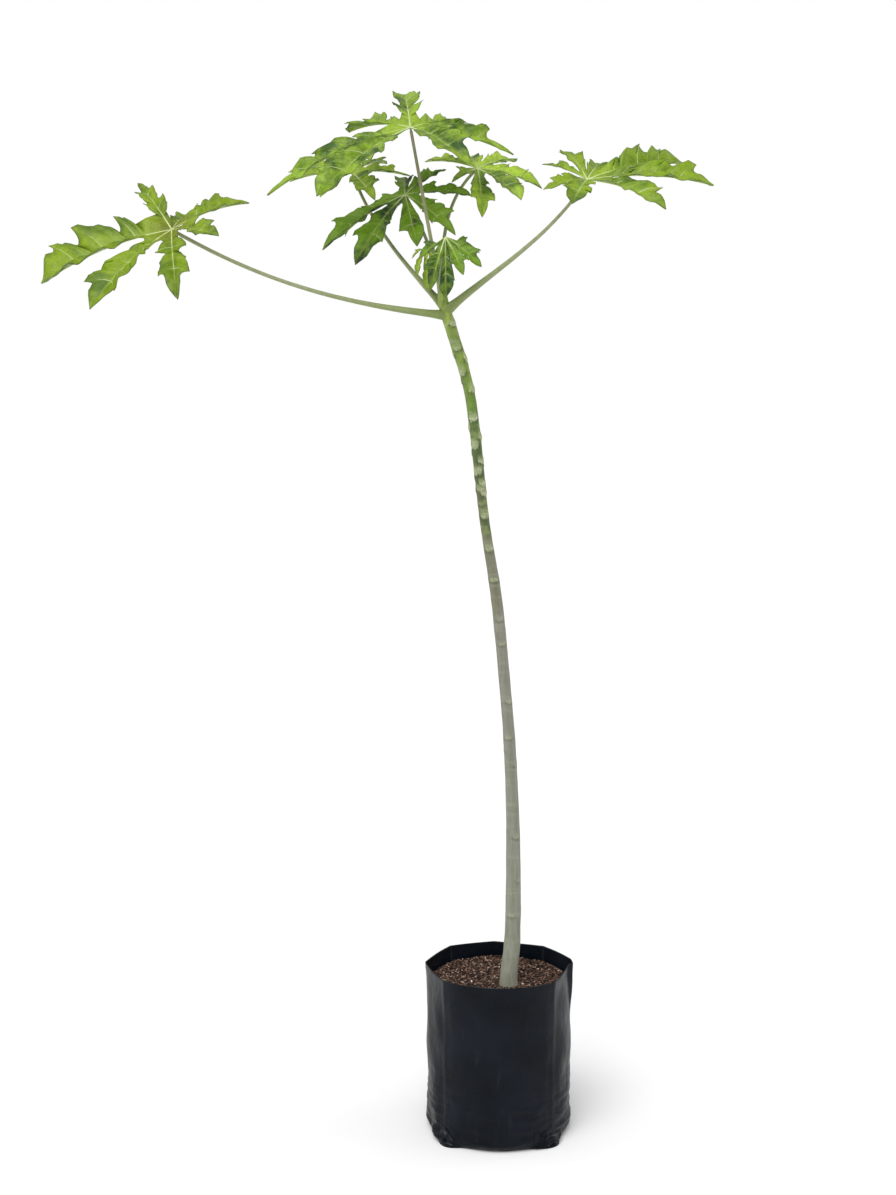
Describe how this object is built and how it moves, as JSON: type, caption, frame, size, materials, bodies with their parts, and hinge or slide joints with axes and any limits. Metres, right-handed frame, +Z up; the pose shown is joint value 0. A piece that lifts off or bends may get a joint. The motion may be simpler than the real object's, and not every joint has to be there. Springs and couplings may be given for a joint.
{
  "type": "papaya tree in a grow bag",
  "caption": "Young papaya tree with a slender scarred trunk and lobed leaves on long stalks, growing in a black plastic grow bag filled with soil.",
  "frame": {"origin": "centre of the grow bag's flat underside, on the ground", "axes": "+Z up, -Y towards the plant's front, +X to the right seen from the front"},
  "size_m": [0.8268, 0.4072, 1.3908],
  "materials": {
    "bark": "dull green-grey bark with pale leaf scars",
    "stalk": "smooth pale green",
    "leaf": "satin green with pale veins",
    "young_leaf": "satin green with pale veins",
    "bag_film": "black film with a soft sheen",
    "soil": "dark brown granular potting mix"
  },
  "bodies": {
    "root": {"trunk": "bark", "stalk_left": "stalk", "stalk_right": "stalk", "stalk_back_left": "stalk", "stalk_top": "stalk", "stalk_centre": "stalk", "stalk_right_centre": "stalk", "stalk_young_front": "stalk", "stalk_young_left": "stalk", "leaf_left": "leaf", "leaf_right": "leaf", "leaf_back_left": "leaf", "leaf_top": "leaf", "leaf_centre": "leaf", "leaf_right_centre": "leaf", "leaf_young_front": "young_leaf", "leaf_young_left": "young_leaf", "bud": "young_leaf", "grow_bag": "bag_film", "soil": "soil"}
  },
  "joints": []
}
